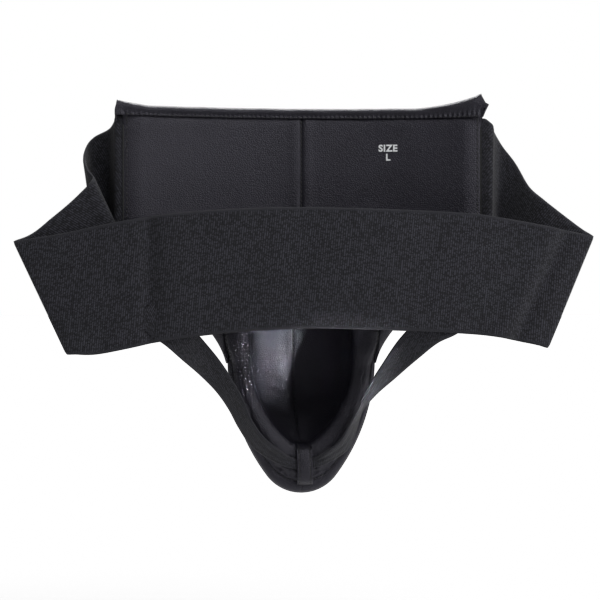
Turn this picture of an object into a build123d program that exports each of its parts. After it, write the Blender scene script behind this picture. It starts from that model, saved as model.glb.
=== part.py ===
from build123d import *
from math import atan2, cos, degrees, hypot, radians, sin, sqrt
import os

# Groin protector for boxing and martial arts: a bent abdomen pad, a padded hard cup below it,
# a wide elastic waistband that closes the loop round the wearer, and an elastic leg strap that
# runs from the waistband down through a leather keeper at the cup's tip and up again.
#
# Millimetres. The origin is the middle of the line that joins the two side seams, which is the
# line that the waistband swings about. +Z is up, +X is the wearer's right, and +Y is the front,
# so the wearer's body is on the -Y side of the pad and the cup bulges towards +Y.
# "left" is -X and "right" is +X.

os.makedirs("parts", exist_ok=True)

# ---------------------------------------------------------------- driving dimensions
# Sheet and foam thicknesses
leather = 1.2
elastic = 2.2
backing_foam = 5.0
front_foam = 7.0
shell_wall = 3.0
cup_lining_foam = 4.0
cup_bumper_foam = 9.6
thread = 0.4
print_film = 0.15
gap = 0.2
sewn_gap = 0.05

# Abdomen pad
pad_width = 284.0
pad_bend_radius = 400.0
pad_top = 56.0
pad_corner_drop = 56.0
pad_corner_radius = 14.0
flank_x = 76.0
flank_drop = 98.0
flank_radius = 34.0
leg_tip_margin = 3.6
leg_tip_drop = 141.0

# Cup
cup_half_width = 58.8
cup_tip_radius = 34.4
cup_tip_drop = 245.0
cup_widest_drop = 137.5
cup_dome_drop = 108.0
cup_tip_padding = 20.0
rim_start_angle = 30.0
rim_cover = 1.0
rim_tip_lift = 8.0
rim_margin = 0.5

# Top binding
binding_grip = 7.0
binding_rise = 5.0
binding_end_rise = 14.0
binding_overhang = 4.0
binding_flare_length = 46.0
binding_flare_radius = 70.0

# Waistband
band_width = 93.0
seam_allowance = 12.0
rear_face_y = -38.0
rear_bend_radius = 2400.0
rear_top_drop = 22.4
crease_top_x = 222.0
crease_top_drop = 46.0
crease_bottom_x = 182.0
crease_bottom_drop = 131.0
swing_clearance = 1.0

# Leg strap and keeper
strap_width = 25.0
strap_thickness = 1.8
strap_gathered_width = 13.0
strap_low_drop = cup_tip_drop - 24.0
strap_cut_x = 62.0
strap_cut_drop = 152.0
strap_end_x = 122.0
strap_end_drop = 98.0
strap_sewn_length = 24.0
tack_inset = 4.0
keeper_width = 14.0
keeper_thickness = 1.8
keeper_length = 32.0
keeper_low_drop = cup_tip_drop - 6.0
keeper_radius = 5.0

# Seams and print
seam_inset = 3.4
thread_width = 1.2
centre_thread_top_margin = 1.0
mark_x, mark_z = 69.0, 27.0
mark_width, mark_height = 26.0, 13.0

# ---------------------------------------------------------------- worked out from them
half = pad_width / 2
band_half = band_width / 2
lining_back = pad_bend_radius + leather
backing_back = lining_back + backing_foam
front_back = backing_back + front_foam
cover_back = front_back + leather
seam_radius = backing_back - elastic / 2
pad_axis_y = -sqrt(seam_radius**2 - half**2)
pad_face_y = pad_axis_y + pad_bend_radius
pad_seam_top = pad_top - binding_grip
reach = 2 * pad_bend_radius

bumper_depth = leather
shell_depth = bumper_depth + cup_bumper_foam
cup_foam_depth = shell_depth + shell_wall
lining_depth = cup_foam_depth + cup_lining_foam
cup_wall = lining_depth + leather
cup_top = cup_half_width - cup_dome_drop

rim_radius = cup_wall / 2 - rim_margin
rim_seat_y = pad_face_y - leather
rim_plane = Plane.XZ.offset(-pad_face_y)
seat_plane = Plane.XZ.offset(-rim_seat_y)
middle_plane = Plane(origin=(0, pad_face_y, 0), x_dir=(0, 1, 0), z_dir=(1, 0, 0))
cup_axis = Axis((0, pad_face_y, 0), (0, 0, 1))
cup_axis_down = Axis((0, pad_face_y, 0), (0, 0, -1))

strap_back_y = rim_seat_y - rim_radius - gap
strap_front_y = strap_back_y - strap_thickness
keeper_inner_y = strap_front_y - gap
keeper_outer_y = keeper_inner_y - keeper_thickness
strap_run_x = strap_end_x - strap_cut_x
strap_run_z = strap_cut_drop - strap_end_drop
strap_angle = degrees(atan2(strap_run_z, strap_run_x))
strap_across = (sin(radians(strap_angle)), -cos(radians(strap_angle)))
strap_along = (cos(radians(strap_angle)), sin(radians(strap_angle)))
rear_axis_y = rear_face_y + rear_bend_radius


def rear_inner_y(x):
    """Where the rear band's inner face is, x to the side of its middle."""
    return rear_axis_y - sqrt(rear_bend_radius**2 - x**2)


def save(piece, name):
    """Labels a finished piece and writes its STEP file."""
    piece.part.label = name
    export_step(piece.part, f"parts/{name}.step")


# ---------------------------------------------------------------- shared shapes
def bent_wall(first_radius, last_radius, width, low, high, mode=Mode.ADD, axis_y=pad_axis_y, side=1):
    """An upright wall bent about an upright axis; side is -1 where it stands behind that axis."""
    with BuildSketch(Plane.XY.offset(low)) as plan:
        with Locations((0, axis_y)):
            Circle(last_radius)
            Circle(first_radius, mode=Mode.SUBTRACT)
        with Locations((0, axis_y + side * last_radius)):
            Rectangle(width, last_radius, mode=Mode.INTERSECT)
    extrude(plan.sketch, amount=high - low, mode=mode)


def trim_to_front_view(outline):
    """Keeps what lies behind a sketch of the front view."""
    extrude(outline.sketch, amount=reach, both=True, mode=Mode.INTERSECT)


def trim_to_box(centre_x, centre_z, width, height, turn=0.0):
    """Keeps what lies behind a rectangle of the front view."""
    with BuildSketch(Plane.XZ) as outline:
        with Locations((centre_x, centre_z)):
            Rectangle(width, height, rotation=turn)
    trim_to_front_view(outline)


def trim_to_pad_outline():
    """Keeps the pad's outline: a rectangle whose lower corners run down to the cup's flanks."""
    leg_x = cup_half_width + leg_tip_margin
    side = [(half, -pad_corner_drop), (flank_x, -flank_drop), (leg_x, -leg_tip_drop)]
    other_side = [(-x, z) for x, z in reversed(side)]
    with BuildSketch(Plane.XZ) as outline:
        with BuildLine():
            Polyline((-half, pad_top), (half, pad_top), *side, *other_side, close=True)
        make_face()
        corners = outline.vertices().filter_by(lambda v: abs(v.Y + pad_corner_drop) < gap)
        fillet(corners, pad_corner_radius)
        flanks = outline.vertices().filter_by(lambda v: abs(v.Y + flank_drop) < gap)
        fillet(flanks, flank_radius)
    trim_to_front_view(outline)


def band_end(side, mode=Mode.ADD):
    """The end of the waistband that is sewn in between the pad's two foams."""
    inner_radius = backing_back - elastic
    with BuildSketch(Plane.XY.offset(-band_half)) as plan:
        with Locations((0, pad_axis_y)):
            Circle(backing_back)
            Circle(inner_radius, mode=Mode.SUBTRACT)
        with Locations((side * (half - seam_allowance / 2), 0)):
            Rectangle(seam_allowance, inner_radius, mode=Mode.INTERSECT)
    extrude(plan.sketch, amount=band_width, mode=mode)


def cup_arcs(depth, lift):
    """Edge, tip radius, tip centre height, side radius and tangent angle of an outline of the cup."""
    edge = cup_half_width - depth
    tip = cup_tip_radius - depth
    centre_z = depth + lift + tip - cup_tip_drop
    fall = -cup_widest_drop - centre_z
    side = (edge**2 + fall**2 - tip**2) / (2 * (edge - tip))
    return edge, tip, centre_z, side, degrees(atan2(-fall, side - edge))


def cup_outline(depth, lift=0.0, mode=Mode.ADD):
    """Half of the cup's front view moved in by depth: tip arc, side arc, flank and dome."""
    edge, tip, centre_z, side, tangent = cup_arcs(depth, lift)
    with BuildLine() as outline:
        tip_arc = CenterArc((0, centre_z), tip, -90, 90 + tangent)
        CenterArc((edge - side, -cup_widest_drop), side, tangent, -tangent)
        Line((edge, -cup_widest_drop), (edge, -cup_dome_drop))
        dome = CenterArc((0, -cup_dome_drop), edge, 0, 90)
        Line(dome @ 1, tip_arc @ 0)
    make_face(outline.edges(), mode=mode)


def cup_layer(outer, inner, plane=rim_plane, axis=cup_axis, turn=180):
    """One layer of the cup's wall, between two outlines given as (depth, lift), turned about the cup's axis."""
    with BuildSketch(plane) as section:
        cup_outline(*outer)
        cup_outline(*inner, mode=Mode.SUBTRACT)
    revolve(section.sketch, axis=axis, revolution_arc=turn)


def remove_cup():
    """Takes the whole cup out of a pad layer, so that the layer ends at the cup's skin."""
    with BuildSketch(rim_plane) as section:
        cup_outline(0)
    revolve(section.sketch, axis=cup_axis, mode=Mode.SUBTRACT)


def rim_path():
    """The middle line of the rim, from the right flank round the tip to the left one."""
    edge, tip, centre_z, side, tangent = cup_arcs(cup_wall / 2, rim_tip_lift)
    with BuildLine(seat_plane) as path:
        CenterArc((0, -cup_dome_drop), edge, rim_start_angle, -rim_start_angle)
        Line((edge, -cup_dome_drop), (edge, -cup_widest_drop))
        CenterArc((edge - side, -cup_widest_drop), side, 0, tangent)
        CenterArc((0, centre_z), tip, tangent, -180 - 2 * tangent)
        CenterArc((side - edge, -cup_widest_drop), side, 180 - tangent, tangent)
        Line((-edge, -cup_widest_drop), (-edge, -cup_dome_drop))
        CenterArc((0, -cup_dome_drop), edge, 180, -rim_start_angle)
    return path.wire()


def rim_section(path):
    """The plane across the start of the rim, its local X pointing at the wearer."""
    return Plane(origin=path @ 0, x_dir=(0, -1, 0), z_dir=path % 0)


def half_round(radius, mode=Mode.ADD):
    """Half a disc on the wearer's side of the cup's edge."""
    with BuildLine() as outline:
        CenterArc((0, 0), radius, -90, 180)
        Line((0, radius), (0, -radius))
    make_face(outline.edges(), mode=mode)


# ---------------------------------------------------------------- abdomen pad
for side_name, kept in (("left", Keep.BOTTOM), ("right", Keep.TOP)):
    # Synthetic leather against the body, in two halves that meet at the centre seam.
    with BuildPart() as pad_lining:
        bent_wall(pad_bend_radius, lining_back, pad_width, -leg_tip_drop, pad_top)
        trim_to_pad_outline()
        remove_cup()
        split(bisect_by=Plane.YZ, keep=kept)
    save(pad_lining, f"pad_lining_{side_name}")

with BuildPart() as pad_backing:
    # Firm foam board, pocketed at both ends for the elastic that is sewn in there.
    bent_wall(lining_back, backing_back, pad_width, -leg_tip_drop, pad_top)
    trim_to_pad_outline()
    remove_cup()
    band_end(-1, mode=Mode.SUBTRACT)
    band_end(1, mode=Mode.SUBTRACT)
save(pad_backing, "pad_backing_foam")

with BuildPart() as pad_front:
    bent_wall(backing_back, front_back, pad_width, -leg_tip_drop, pad_top)
    trim_to_pad_outline()
    remove_cup()
save(pad_front, "pad_front_foam")

with BuildPart() as pad_cover:
    bent_wall(front_back, cover_back, pad_width, -leg_tip_drop, pad_top)
    trim_to_pad_outline()
    remove_cup()
save(pad_cover, "pad_front_cover")

with BuildPart() as binding:
    # Leather strip folded over the pad's top edge, with both ends left long and turned up.
    middle_top = pad_top + binding_rise
    end_top = pad_top + binding_end_rise
    end_x = half + binding_overhang
    flare_x = half - binding_flare_length
    bent_wall(pad_bend_radius - leather, cover_back + leather, 2 * end_x, pad_seam_top, end_top)
    with BuildSketch(Plane.XZ) as binding_outline:
        with BuildLine():
            Polyline(
                (-end_x, pad_seam_top),
                (end_x, pad_seam_top),
                (end_x, end_top),
                (flare_x, middle_top),
                (-flare_x, middle_top),
                (-end_x, end_top),
                close=True,
            )
        make_face()
        bends = binding_outline.vertices().filter_by(lambda v: abs(v.Y - middle_top) < gap)
        fillet(bends, binding_flare_radius)
    trim_to_front_view(binding_outline)
    bent_wall(pad_bend_radius, cover_back, 2 * end_x, pad_seam_top, pad_top, mode=Mode.SUBTRACT)
save(binding, "top_binding")

with BuildPart() as binding_thread:
    strip_back = pad_bend_radius - leather
    bent_wall(strip_back - thread, strip_back, pad_width - 2 * seam_inset, pad_seam_top, pad_top)
    trim_to_box(0, pad_seam_top + thread_width, pad_width, thread_width)
save(binding_thread, "top_binding_thread")

with BuildPart() as pad_thread:
    low = cup_top + centre_thread_top_margin
    bent_wall(pad_bend_radius - thread, pad_bend_radius, thread_width, low, pad_seam_top)
save(pad_thread, "pad_centre_thread")

for side_name, side in (("left", -1), ("right", 1)):
    with BuildPart() as side_thread:
        bent_wall(pad_bend_radius - thread, pad_bend_radius, pad_width, -band_half, pad_seam_top)
        thread_length = pad_seam_top + band_half
        trim_to_box(side * (half - seam_inset), pad_seam_top - thread_length / 2, thread_width, thread_length)
    save(side_thread, f"side_thread_{side_name}")

with BuildPart() as mark:
    # Printed film on the right half of the lining.
    bent_wall(pad_bend_radius - print_film, pad_bend_radius, pad_width, mark_z - mark_height, mark_z + mark_height)
    trim_to_box(mark_x, mark_z, mark_width, mark_height)
save(mark, "size_mark")

# ---------------------------------------------------------------- cup
lining_face = (cup_wall, cup_tip_padding)
lining_rear = (lining_depth, cup_tip_padding)
for side_name, turn_axis in (("left", cup_axis), ("right", cup_axis_down)):
    # Each half is turned a quarter from the middle plane, so that the halves meet at the centre seam.
    with BuildPart() as cup_cover:
        cup_layer((0, 0), (bumper_depth, 0), middle_plane, turn_axis, 90)
    save(cup_cover, f"cup_cover_{side_name}")
    with BuildPart() as cup_lining:
        cup_layer(lining_rear, lining_face, middle_plane, turn_axis, 90)
    save(cup_lining, f"cup_lining_{side_name}")

with BuildPart() as cup_bumper:
    cup_layer((bumper_depth, 0), (shell_depth, 0))
save(cup_bumper, "cup_bumper_foam")

with BuildPart() as cup_shell:
    cup_layer((shell_depth, 0), (cup_foam_depth, 0))
save(cup_shell, "cup_shell")

with BuildPart() as cup_foam:
    cup_layer((cup_foam_depth, 0), lining_rear)
save(cup_foam, "cup_lining_foam")

with BuildPart() as cup_thread:
    with BuildSketch(middle_plane):
        cup_outline(cup_wall + sewn_gap, cup_tip_padding)
        cup_outline(cup_wall + sewn_gap + thread, cup_tip_padding, mode=Mode.SUBTRACT)
        with Locations((cup_half_width, -cup_widest_drop)):
            Rectangle(cup_half_width, cup_half_width, mode=Mode.INTERSECT)
    extrude(amount=thread_width / 2, both=True)
save(cup_thread, "cup_centre_thread")

with BuildPart() as rim_facing:
    # Flat leather ring that closes the cup wall's cut edge and carries the rim roll.
    with BuildSketch(rim_plane):
        cup_outline(gap)
        cup_outline(*lining_face, mode=Mode.SUBTRACT)
        mirror(about=Plane.YZ)
    extrude(amount=leather)
save(rim_facing, "rim_facing")

rim_line = rim_path()
with BuildPart() as rim_roll:
    with BuildSketch(rim_section(rim_line)):
        half_round(rim_radius - rim_cover)
    sweep(path=rim_line)
save(rim_roll, "rim_roll_foam")

with BuildPart() as rim_skin:
    with BuildSketch(rim_section(rim_line)):
        half_round(rim_radius)
        half_round(rim_radius - rim_cover, mode=Mode.SUBTRACT)
    sweep(path=rim_line)
save(rim_skin, "rim_cover")

with BuildPart() as rim_stitch:
    # Thread along the rim's outer shoulder, in the fold between the roll and its seat.
    with BuildSketch(rim_section(rim_line)):
        half_round(rim_radius + thread)
        half_round(rim_radius, mode=Mode.SUBTRACT)
        with Locations((thread_width / 2, -rim_radius)):
            Rectangle(thread_width, thread_width, mode=Mode.INTERSECT)
    sweep(path=rim_line)
save(rim_stitch, "rim_thread")

# ---------------------------------------------------------------- strap keeper
keeper_rise = rim_seat_y - keeper_outer_y
keeper_middle_z = keeper_length / 2 - keeper_low_drop
with BuildPart() as keeper:
    # Leather bridge over the strap: a channel whose two feet are sewn to the rim's facing.
    with BuildSketch(Plane.YZ):
        with Locations((rim_seat_y - keeper_rise / 2, keeper_middle_z)):
            Rectangle(keeper_rise, keeper_length)
    extrude(amount=keeper_width / 2, both=True)
    fillet(keeper.edges().filter_by(Axis.X).group_by(Axis.Y)[0], keeper_radius)
    with BuildSketch(Plane.YZ) as channel:
        with Locations((rim_seat_y, keeper_middle_z)):
            Rectangle(2 * (rim_seat_y - keeper_inner_y), keeper_length - 2 * keeper_thickness)
        fillet(channel.vertices().group_by(Axis.X)[0], keeper_radius - keeper_thickness)
    extrude(amount=keeper_width / 2, both=True, mode=Mode.SUBTRACT)
save(keeper, "keeper_loop")

with BuildPart() as keeper_stitch:
    stitched_width = keeper_width - seam_inset
    stitched_length = keeper_length - 2 * keeper_radius - thread_width
    with BuildSketch(Plane.XZ.offset(-keeper_outer_y)):
        with Locations((0, keeper_middle_z)):
            Rectangle(stitched_width, stitched_length)
            Rectangle(stitched_width - 2 * thread_width, stitched_length - 2 * thread_width, mode=Mode.SUBTRACT)
    extrude(amount=thread)
save(keeper_stitch, "keeper_thread")

# ---------------------------------------------------------------- waistband
for side_name, side in (("left", -1), ("right", 1)):
    with BuildPart() as sewn_end:
        band_end(side)
    save(sewn_end, f"waistband_end_{side_name}")

with BuildPart() as waistband:
    # The rear run, bent in plan and arched in the front view, between its two slanted folds.
    rear_outer = rear_bend_radius + elastic
    bent_wall(rear_bend_radius, rear_outer, pad_width * 2, -cup_tip_drop, 0, axis_y=rear_axis_y, side=-1)
    with BuildSketch(Plane.XZ) as rear_outline:
        with BuildLine():
            crease_top = (crease_top_x, -crease_top_drop)
            crease_bottom = (crease_bottom_x, -crease_bottom_drop)
            ThreePointArc((-crease_top_x, -crease_top_drop), (0, -rear_top_drop), crease_top)
            Line(crease_top, crease_bottom)
            ThreePointArc(crease_bottom, (0, -rear_top_drop - band_width), (-crease_bottom_x, -crease_bottom_drop))
            Line((-crease_bottom_x, -crease_bottom_drop), (-crease_top_x, -crease_top_drop))
        make_face()
    trim_to_front_view(rear_outline)
    # The two side runs, from the folds back to the side seams.
    crease_x = (crease_top_x + crease_bottom_x) / 2
    crease_drop = (crease_top_drop + crease_bottom_drop) / 2
    crease_y = rear_inner_y(crease_x) - elastic / 2
    crease_run_x = crease_top_x - crease_bottom_x
    crease_run_z = crease_bottom_drop - crease_top_drop
    crease_slope_y = rear_inner_y(crease_top_x) - rear_inner_y(crease_bottom_x)
    for side in (-1, 1):
        seam_plane = Plane((side * (half + swing_clearance), 0, 0), x_dir=(0, 0, 1), z_dir=(side, 0, 0))
        with BuildSketch(seam_plane) as seam_end:
            Rectangle(band_width, elastic)
        crease_plane = Plane(
            origin=(side * crease_x, crease_y, -crease_drop),
            x_dir=(side * crease_run_x, crease_slope_y, crease_run_z),
            z_dir=(side * crease_run_z, 0, -crease_run_x),
        )
        with BuildSketch(crease_plane) as crease_end:
            Rectangle(hypot(crease_run_x, crease_run_z), elastic)
        loft([seam_end.sketch, crease_end.sketch], ruled=True)
save(waistband, "waistband_elastic")

# ---------------------------------------------------------------- leg strap
with BuildPart() as strap_low:
    # The V that lies on the rim and runs through the keeper.
    spread = strap_width / 2
    neck = keeper_width / 2 + gap
    neck_low = -strap_low_drop - strap_gathered_width / 2
    neck_high = neck_low + strap_gathered_width
    outer_end = (strap_cut_x + spread * strap_across[0], -strap_cut_drop + spread * strap_across[1])
    inner_end = (strap_cut_x - spread * strap_across[0], -strap_cut_drop - spread * strap_across[1])
    right_side = [inner_end, outer_end]
    left_side = [(-x, z) for x, z in reversed(right_side)]
    with BuildSketch(Plane.XZ.offset(-strap_back_y)):
        with BuildLine():
            neck_right = [(neck, neck_low), (-neck, neck_low)]
            Polyline((neck, neck_high), *right_side, *neck_right, *left_side, (-neck, neck_high), close=True)
        make_face()
    extrude(amount=strap_thickness)
save(strap_low, "leg_strap_lower")

for side_name, side in (("left", -1), ("right", 1)):
    patch_x = strap_end_x - strap_along[0] * strap_sewn_length / 2
    patch_z = -strap_end_drop - strap_along[1] * strap_sewn_length / 2
    run_end_x = strap_end_x - strap_along[0] * strap_sewn_length
    run_end_z = -strap_end_drop - strap_along[1] * strap_sewn_length
    run_start_x = strap_cut_x + strap_along[0] * swing_clearance
    run_start_z = -strap_cut_drop + strap_along[1] * swing_clearance
    strap_middle_y = strap_back_y - strap_thickness / 2
    run_rise_y = rear_inner_y(run_end_x) + strap_thickness / 2 - strap_middle_y
    run = (side * (run_end_x - run_start_x), run_rise_y, run_end_z - run_start_z)
    run_length = sqrt(run[0] ** 2 + run[1] ** 2 + run[2] ** 2)
    with BuildPart() as strap:
        # The sewn end lies on the rear band's inner face, and the free run slopes down to the rim.
        first = rear_bend_radius - strap_thickness
        bent_wall(first, rear_bend_radius, pad_width * 2, -cup_tip_drop, 0, axis_y=rear_axis_y, side=-1)
        trim_to_box(side * patch_x, patch_z, strap_sewn_length, strap_width, side * strap_angle)
        start = Plane(
            origin=(side * run_start_x, strap_middle_y, run_start_z),
            x_dir=(side * strap_across[0], 0, strap_across[1]),
            z_dir=run,
        )
        with BuildSketch(start):
            Rectangle(strap_width, strap_thickness)
        extrude(amount=run_length)
        last = rear_bend_radius + strap_width
        bent_wall(rear_bend_radius, last, pad_width * 2, -cup_tip_drop, 0, Mode.SUBTRACT, rear_axis_y, -1)
    save(strap, f"leg_strap_{side_name}")

    with BuildPart() as tack:
        # Box of stitches through the sewn end.
        last = rear_bend_radius - strap_thickness
        bent_wall(last - thread, last, pad_width * 2, -cup_tip_drop, 0, axis_y=rear_axis_y, side=-1)
        with BuildSketch(Plane.XZ) as box:
            with Locations((side * patch_x, patch_z)):
                box_size = (strap_sewn_length - 2 * tack_inset, strap_width - 2 * tack_inset)
                Rectangle(*box_size, rotation=side * strap_angle)
                inner_size = [length - 2 * thread_width for length in box_size]
                Rectangle(*inner_size, rotation=side * strap_angle, mode=Mode.SUBTRACT)
        trim_to_front_view(box)
    save(tack, f"strap_tack_{side_name}")
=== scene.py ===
"""Groin protector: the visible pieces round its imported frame, laid out as an add-on.

Lengths are metres. +Z is up, +X is the wearer's right and +Y is the front, so the wearer's body
is on the -Y side of the pad. "left" is -X and "right" is +X.
"""

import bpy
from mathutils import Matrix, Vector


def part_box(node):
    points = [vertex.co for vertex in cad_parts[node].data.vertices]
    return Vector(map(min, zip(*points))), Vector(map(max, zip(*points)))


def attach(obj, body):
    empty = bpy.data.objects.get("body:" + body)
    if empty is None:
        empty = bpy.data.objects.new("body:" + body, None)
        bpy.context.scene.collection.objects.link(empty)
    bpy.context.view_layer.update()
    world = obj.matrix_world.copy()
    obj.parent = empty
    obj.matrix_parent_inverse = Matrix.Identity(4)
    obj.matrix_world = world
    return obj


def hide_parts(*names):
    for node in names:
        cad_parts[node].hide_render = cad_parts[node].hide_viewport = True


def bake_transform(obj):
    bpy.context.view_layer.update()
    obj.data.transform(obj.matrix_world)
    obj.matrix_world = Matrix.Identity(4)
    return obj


bl_info = {
    "name": "Groin Protector",
    "version": (1, 0, 0),
    "blender": (4, 5, 0),
    "location": "View3D > Sidebar > Guard",
    "description": "Padded abdomen guard with a hard cup, a ribbed elastic waistband and a leg strap",
    "category": "Add Mesh",
}

import math

import bmesh
import bpy
import numpy as np
from mathutils import Vector

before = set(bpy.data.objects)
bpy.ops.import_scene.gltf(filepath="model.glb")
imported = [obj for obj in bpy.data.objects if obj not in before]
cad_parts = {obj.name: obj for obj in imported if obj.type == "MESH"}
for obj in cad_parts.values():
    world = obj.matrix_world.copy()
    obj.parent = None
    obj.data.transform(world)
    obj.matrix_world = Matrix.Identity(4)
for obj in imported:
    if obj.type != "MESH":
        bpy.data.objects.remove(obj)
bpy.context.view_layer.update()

MM = 0.001
GUARD = "guard"
BAND = "waistband"
SIDES = (("left", -1.0), ("right", 1.0))


# ---------------------------------------------------------------- sizes read from the frame
def low(node):
    """The lowest corner of a CAD node's box."""
    return np.array(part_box(node)[0])


def high(node):
    """The highest corner of a CAD node's box."""
    return np.array(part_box(node)[1])


PAD_HALF = high("pad_lining_right")[0]
PAD_TOP = high("pad_lining_right")[2]
LEG_TIP = low("pad_lining_right")[2]
PAD_FACE = low("cup_shell")[1]
PAD_SAG = PAD_FACE - low("pad_lining_right")[1]
PAD_BEND = (PAD_HALF**2 + PAD_SAG**2) / (2 * PAD_SAG)
PAD_AXIS = PAD_FACE - PAD_BEND
PAD_THICK = high("pad_front_cover")[1] - PAD_FACE
LINING_THICK = high("pad_lining_right")[1] - PAD_FACE
BACKING_THICK = high("pad_backing_foam")[1] - PAD_FACE
COVER_THICK = high("pad_front_foam")[1] - PAD_FACE
CUP_HALF = high("cup_cover_right")[0]
CUP_TOP = high("cup_cover_right")[2]
CUP_TIP = low("cup_cover_right")[2]
CUP_DOME = CUP_TOP - CUP_HALF
CUP_WALL = CUP_HALF - high("cup_lining_right")[0] + LINING_THICK
RIM_SEAT = low("rim_facing")[1]
RIM_CREST = low("rim_cover")[1]
BAND_HALF = high("waistband_end_right")[2]
BAND_THICK = 2.2 * MM
REAR_FRONT = low("waistband_elastic")[1] + BAND_THICK / 2

# Sizes of the cup's outline that no box gives
CUP_WIDEST = -137.5 * MM
CUP_TIP_RADIUS = 34.4 * MM
CUP_TIP_PADDING = 20.0 * MM
LEG_X = CUP_HALF + 0.6 * MM
LINING_SEAM_TURN = math.radians(6)


# ---------------------------------------------------------------- what a user would change
class GuardSizes(bpy.types.PropertyGroup):
    """Sizes of the guard's soft pieces and of their stitching."""

    edge_roll: bpy.props.FloatProperty(
        name="Edge roll", description="Width over which the pad thins to its sewn edge",
        default=15 * MM, unit="LENGTH",
    )
    stitch_pitch: bpy.props.FloatProperty(
        name="Stitch pitch", description="Distance from one stitch to the next",
        default=3.7 * MM, unit="LENGTH",
    )
    stitch_length: bpy.props.FloatProperty(
        name="Stitch length", description="Length of thread that shows in one stitch",
        default=2.7 * MM, unit="LENGTH",
    )
    thread_radius: bpy.props.FloatProperty(
        name="Thread radius", description="Half the width of the sewing thread",
        default=0.45 * MM, unit="LENGTH",
    )
    rib_pitch: bpy.props.FloatProperty(
        name="Rib pitch", description="Distance from one rib of the elastic to the next",
        default=1.75 * MM, unit="LENGTH",
    )
    grain_size: bpy.props.FloatProperty(
        name="Grain size", description="Width of one pebble of the leather's grain",
        default=0.8 * MM, unit="LENGTH",
    )
    camera_distance: bpy.props.FloatProperty(
        name="Camera distance", description="From the camera to the pad's face",
        default=1.6, unit="LENGTH",
    )
    camera_turn: bpy.props.FloatProperty(
        name="Camera turn", description="How far the camera stands round from straight behind",
        default=math.radians(-4.0), subtype="ANGLE",
    )


def linear(code):
    """Linear RGB of an sRGB hex code: the sRGB curve undone channel by channel."""
    channels = [int(code[i : i + 2], 16) / 255 for i in (0, 2, 4)]
    return [c / 12.92 if c <= 0.04045 else ((c + 0.055) / 1.055) ** 2.4 for c in channels]


def colour_property(name, description, code):
    """A colour that a user would change, from its sRGB hex code."""
    return bpy.props.FloatVectorProperty(
        name=name, description=description, default=linear(code), subtype="COLOR", size=3, min=0, max=1
    )


class GuardColours(bpy.types.PropertyGroup):
    """Colours of the guard's materials."""

    leather: colour_property("Leather", "Synthetic leather's coat", "131219")
    elastic: colour_property("Elastic", "Yarn on the elastic's ribs", "36363d")
    # Painted shade: the grooves between the elastic's ribs and floats get this much darker colour in place of the
    # shade that falls in them.
    elastic_groove_shade: colour_property("Elastic between ribs", "Elastic between its ribs", "101012")
    thread: colour_property("Thread", "Sewing thread", "0f0f12")
    foam: colour_property("Foam", "Closed-cell foam", "6f7072")
    shell: colour_property("Shell", "Moulded cup shell", "d6d4cc")
    mark: colour_property("Mark", "Printed size mark", "e4e6e8")
    floor: colour_property("Floor", "Studio floor", "f4f4f4")


def sizes():
    """The sizes in use."""
    return bpy.context.scene.guard_sizes


def colour(name):
    """One of the colours in use, as linear RGBA."""
    return (*getattr(bpy.context.scene.guard_colours, name), 1.0)


# ---------------------------------------------------------------- meshes
def ease(share):
    """0 to 1 with level ends: three times the square less twice the cube of a share held in 0 to 1."""
    share = np.clip(share, 0, 1)
    return share * share * (3 - 2 * share)


def bump_at(distance, width):
    """A bell of height 1: e to the minus square of distance over width."""
    return np.exp(-((distance / width) ** 2))


def ripple(across, along, seed):
    """Uneven soft waves between about -1 and 1: the mean of five sines of turned, unlike wavelengths."""
    rng = np.random.default_rng(seed)
    total = 0.0
    for turn, length, phase in zip(rng.uniform(0, math.pi, 5), rng.uniform(0.6, 1.9, 5), rng.uniform(0, 6.28, 5)):
        total = total + np.sin((across * math.cos(turn) + along * math.sin(turn)) * 2 * math.pi / length + phase)
    return total / 5


def curve_through(knots, places, samples):
    """Points at samples on the smooth curve through knots that stand at places: cubic Hermite spans,
    each knot's slope being that of the parabola through it and its neighbours."""
    knots = np.asarray(knots, float)
    slopes = np.gradient(knots, places, axis=0)
    span = np.clip(np.searchsorted(places, samples, side="right") - 1, 0, len(places) - 2)
    step = (places[span + 1] - places[span])[:, None]
    t = (samples - places[span])[:, None] / step
    start = (1 + 2 * t) * (1 - t) ** 2 * knots[span] + t * (1 - t) ** 2 * step * slopes[span]
    return start + t * t * (3 - 2 * t) * knots[span + 1] + t * t * (t - 1) * step * slopes[span + 1]


def distances(points):
    """How far along each point of a path lies: the running sum of the steps between points."""
    steps = np.linalg.norm(np.diff(points, axis=0), axis=-1)
    return np.concatenate([np.zeros((1, *steps.shape[1:])), np.cumsum(steps, axis=0)])


def quads(rows, columns):
    """The corner numbers of a grid's quads, row by row."""
    index = np.arange(rows * columns).reshape(rows, columns)
    corners = [index[:-1, :-1], index[:-1, 1:], index[1:, 1:], index[1:, :-1]]
    return np.stack(corners, axis=-1).reshape(-1, 4)


def shell(front, back):
    """A closed sheet between two grids: the faces of both, and a wall of quads round their edge."""
    rows, columns = front.shape[:2]
    count = rows * columns
    index = np.arange(count).reshape(rows, columns)
    edge = np.concatenate([index[0], index[1:, -1], index[-1, -2::-1], index[-2:0:-1, 0]])
    after = np.roll(edge, -1)
    walls = np.stack([after, edge, edge + count, after + count], axis=-1)
    faces = quads(rows, columns)
    points = np.concatenate([front.reshape(-1, 3), back.reshape(-1, 3)])
    return points, np.concatenate([faces, faces[:, ::-1] + count, walls])


def normals(grid):
    """Unit normals of a grid: the cross product of its slopes along rows and along columns."""
    across = np.cross(np.gradient(grid, axis=1), np.gradient(grid, axis=0))
    return across / np.maximum(np.linalg.norm(across, axis=-1, keepdims=True), 1e-12)


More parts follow.
